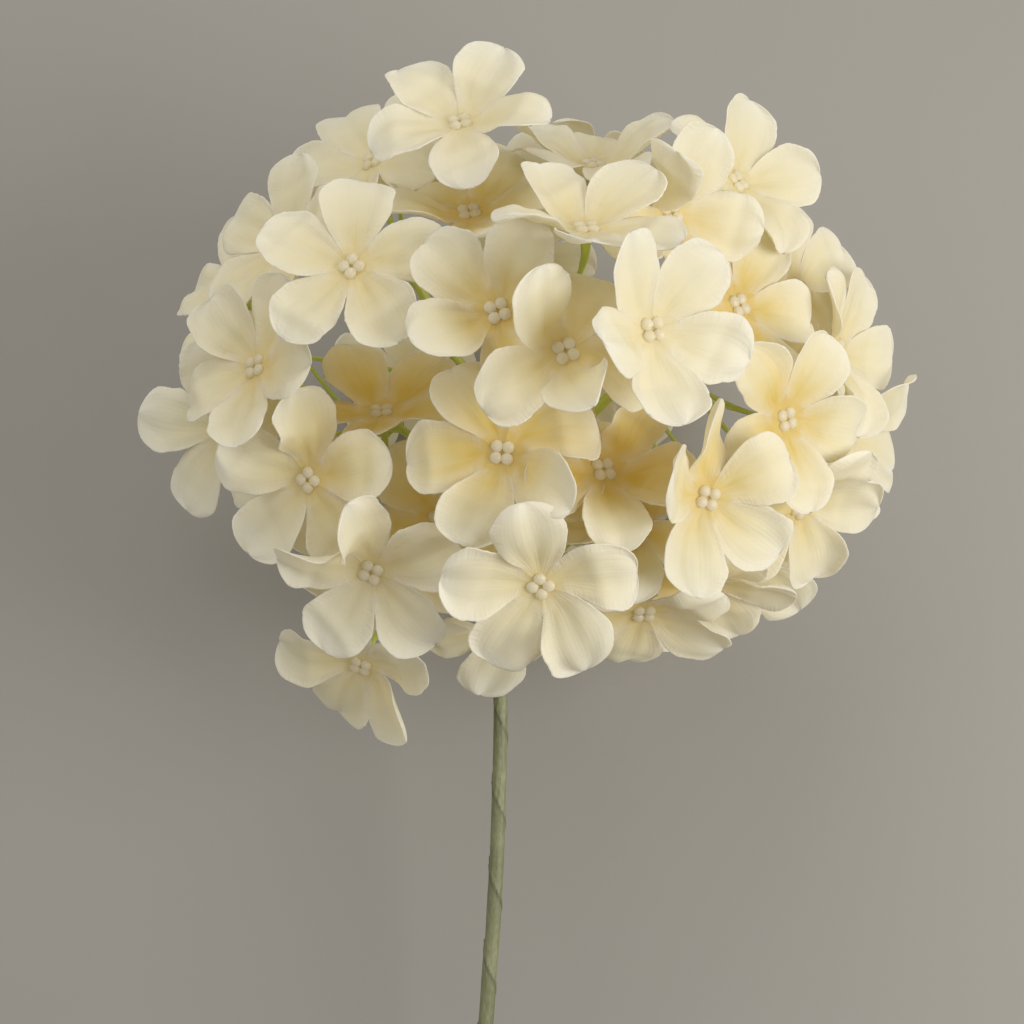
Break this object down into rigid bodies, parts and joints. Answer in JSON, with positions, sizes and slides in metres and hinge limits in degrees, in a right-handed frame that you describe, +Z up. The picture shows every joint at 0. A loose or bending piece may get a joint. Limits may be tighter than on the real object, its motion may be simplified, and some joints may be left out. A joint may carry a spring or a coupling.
{
  "type": "artificial hydrangea stem",
  "caption": "Silk hydrangea stem with a full round head of cream cloth blooms on moulded green stalks and a tape-wrapped stem, laid down.",
  "frame": {"origin": "under the middle of the whole part, on the surface it lies on", "axes": "+Y along the stem from its cut end to the head, +Z up from the surface, +X to the right of the head seen from above"},
  "size_m": [0.1836, 0.3712, 0.1569],
  "materials": {
    "petal_cloth": "thin cream cloth petals, yellower towards the middle, with a pale cut edge",
    "bead_plastic": "small translucent cream beads on the middle of each bloom",
    "stalk_plastic": "moulded yellow-green plastic, slightly glossy",
    "stem_tape": "plastic core wrapped in sage green floral tape",
    "wire_steel": "dull steel core wire"
  },
  "bodies": {
    "root": {"stem": "stem_tape", "stem_wire": "wire_steel", "spray_1": "stalk_plastic", "spray_2": "stalk_plastic", "spray_3": "stalk_plastic", "spray_4": "stalk_plastic", "spray_5": "stalk_plastic", "spray_6": "stalk_plastic", "spray_7": "stalk_plastic", "spray_8": "stalk_plastic", "spray_9": "stalk_plastic", "bloom_01": "petal_cloth", "bloom_02": "petal_cloth", "bloom_03": "petal_cloth", "bloom_04": "petal_cloth", "bloom_05": "petal_cloth", "bloom_06": "petal_cloth", "bloom_07": "petal_cloth", "bloom_08": "petal_cloth", "bloom_09": "petal_cloth", "bloom_10": "petal_cloth", "bloom_11": "petal_cloth", "bloom_12": "petal_cloth", "bloom_13": "petal_cloth", "bloom_14": "petal_cloth", "bloom_15": "petal_cloth", "bloom_16": "petal_cloth", "bloom_17": "petal_cloth", "bloom_18": "petal_cloth", "bloom_19": "petal_cloth", "bloom_20": "petal_cloth", "bloom_21": "petal_cloth", "bloom_22": "petal_cloth", "bloom_23": "petal_cloth", "bloom_24": "petal_cloth", "bloom_25": "petal_cloth", "bloom_26": "petal_cloth", "bloom_27": "petal_cloth", "bloom_28": "petal_cloth", "bloom_29": "petal_cloth", "bloom_30": "petal_cloth", "bloom_31": "petal_cloth", "bloom_32": "petal_cloth", "bloom_33": "petal_cloth", "bloom_34": "petal_cloth", "bloom_35": "petal_cloth", "bloom_36": "petal_cloth", "bloom_37": "petal_cloth", "bloom_38": "petal_cloth", "bloom_39": "petal_cloth", "bloom_40": "petal_cloth", "bloom_41": "petal_cloth", "bloom_42": "petal_cloth", "bloom_43": "petal_cloth", "bloom_44": "petal_cloth", "bloom_45": "petal_cloth", "bloom_46": "petal_cloth", "bloom_47": "petal_cloth"}
  },
  "joints": []
}
